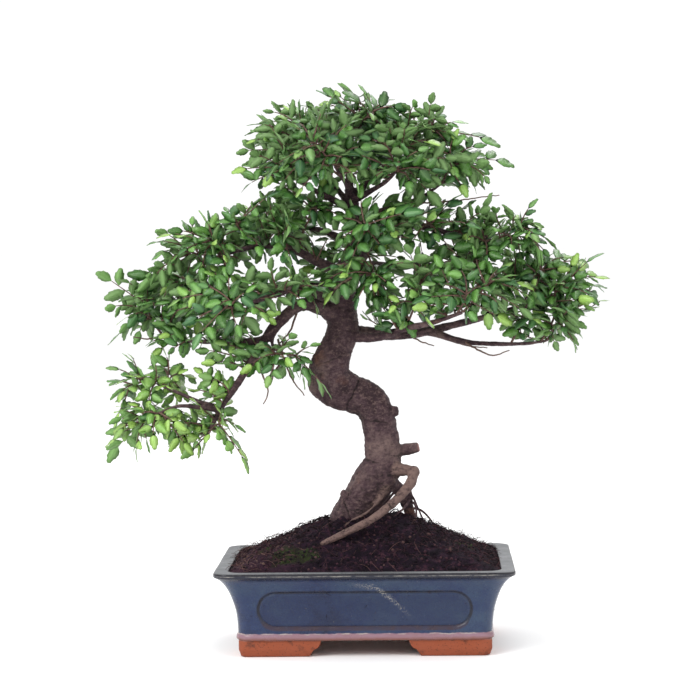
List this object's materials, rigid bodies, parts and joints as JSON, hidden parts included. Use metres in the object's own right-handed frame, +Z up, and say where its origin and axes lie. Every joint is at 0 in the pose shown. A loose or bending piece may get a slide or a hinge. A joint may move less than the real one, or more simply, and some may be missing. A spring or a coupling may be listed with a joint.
{
  "type": "bonsai tree in a pot",
  "caption": "Chinese elm bonsai with a curved trunk and pads of small leaves, in a rectangular glazed pot on four corner feet",
  "frame": {"origin": "on the standing surface, under the middle of the whole object's box", "axes": "+Z up; +X to the right along the pot's long side; the viewer stands on the -Y side"},
  "size_m": [0.4395, 0.1924, 0.4822],
  "materials": {
    "glaze": "gloss",
    "soil": "matte",
    "bark": "matte",
    "drain_mesh": "matte",
    "leaf": "satin"
  },
  "bodies": {
    "root": {"drain_mesh_left": "drain_mesh", "drain_mesh_right": "drain_mesh", "pot": "glaze", "soil": "soil", "spray_back_1": "leaf", "spray_centre_front_1": "leaf", "spray_crown_back_1": "leaf", "spray_crown_front_1": "leaf", "spray_crown_front_2": "leaf", "spray_crown_front_right_1": "leaf", "spray_crown_front_right_2": "leaf", "spray_crown_left_1": "leaf", "spray_crown_left_2": "leaf", "spray_crown_left_back_1": "leaf", "spray_crown_right_1": "leaf", "spray_crown_right_2": "leaf", "spray_crown_right_top_1": "leaf", "spray_crown_top_1": "leaf", "spray_left_edge_1": "leaf", "spray_left_front_1": "leaf", "spray_left_front_2": "leaf", "spray_left_high_1": "leaf", "spray_left_high_2": "leaf", "spray_left_high_back_1": "leaf", "spray_left_high_tip_1": "leaf", "spray_left_high_tip_2": "leaf", "spray_left_mid_1": "leaf", "spray_left_mid_2": "leaf", "spray_left_near_1": "leaf", "spray_left_top_1": "leaf", "spray_low_left_front_1": "leaf", "spray_low_left_knob_1": "leaf", "spray_low_left_outer_1": "leaf", "spray_low_left_outer_2": "leaf", "spray_right_back_1": "leaf", "spray_right_edge_1": "leaf", "spray_right_front_1": "leaf", "spray_right_front_2": "leaf", "spray_right_high_1": "leaf", "spray_right_high_2": "leaf", "spray_right_high_tip_1": "leaf", "spray_right_high_tip_2": "leaf", "spray_right_main_1": "leaf", "spray_right_main_2": "leaf", "spray_right_near_1": "leaf", "spray_right_tip_1": "leaf", "spray_right_tip_2": "leaf", "spray_trunk_front_1": "leaf", "spray_under_left_1": "leaf", "tree": "bark"}
  },
  "joints": []
}
